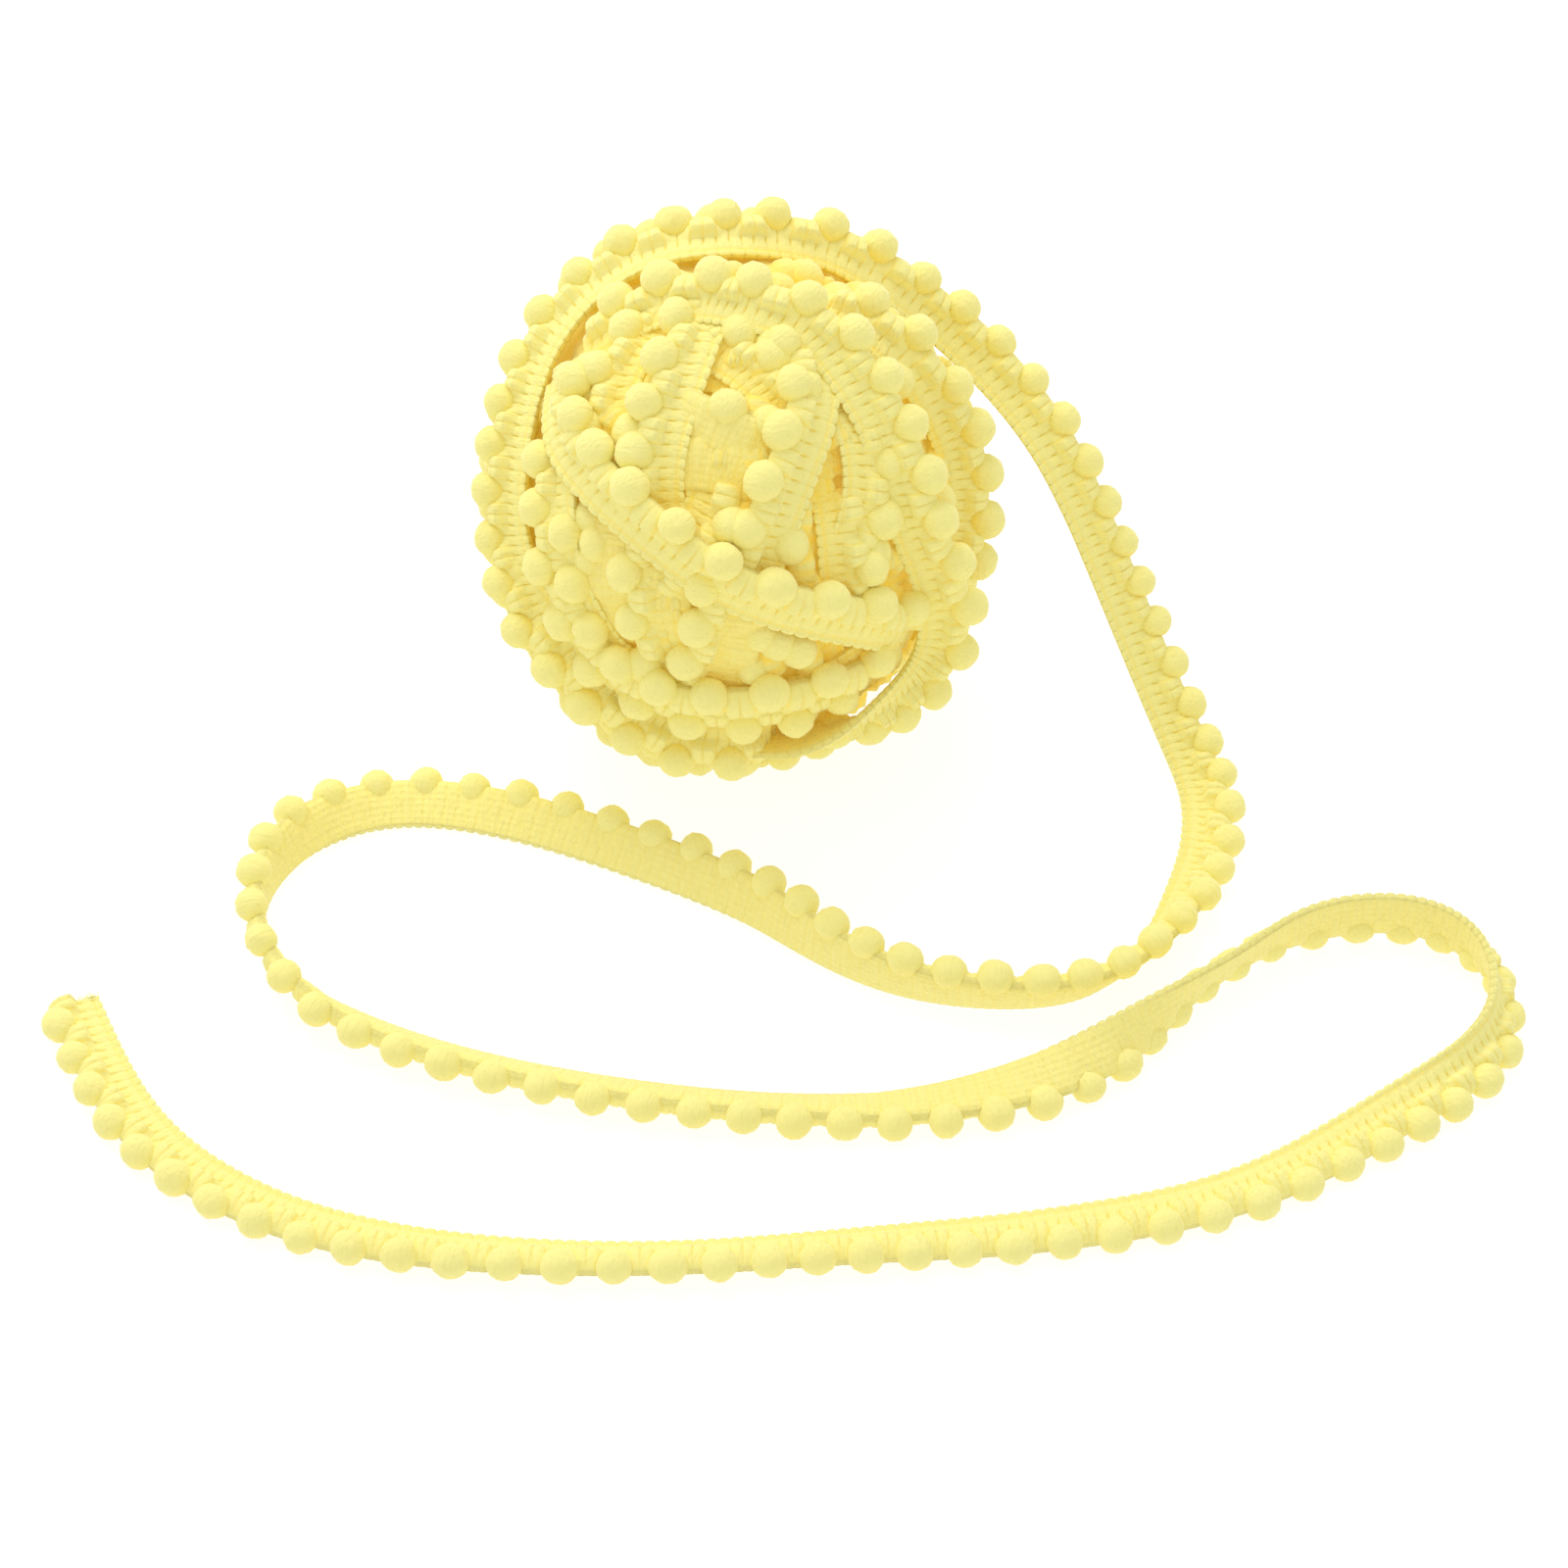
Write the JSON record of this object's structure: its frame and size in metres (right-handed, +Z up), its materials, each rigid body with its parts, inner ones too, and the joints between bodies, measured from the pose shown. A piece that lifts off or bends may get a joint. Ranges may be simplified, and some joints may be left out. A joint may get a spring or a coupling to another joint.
{
  "type": "pompom fringe trim",
  "caption": "Hand-wound ball of narrow woven braid with a row of small fuzzy pompoms along one edge, its loose end lying in wide curves; a sewing trim for edging cushions, curtains and clothes",
  "frame": {"origin": "middle of the ball's flat spot, on the surface that the ball and its loose end lie on", "axes": "+Z up; +X to the right and +Y away from the viewer, who looks at the ball from above the loose end that lies in front of it"},
  "size_m": [0.2296, 0.1732, 0.0884],
  "materials": {
    "wound_trim": "matt, soft, fuzzy",
    "braid": "matt knitted braid",
    "pompom_pile": "matt short pile"
  },
  "bodies": {
    "root": {"wound_ball": "wound_trim", "tail_braid": "braid", "tail_pompoms": "pompom_pile"}
  },
  "joints": []
}
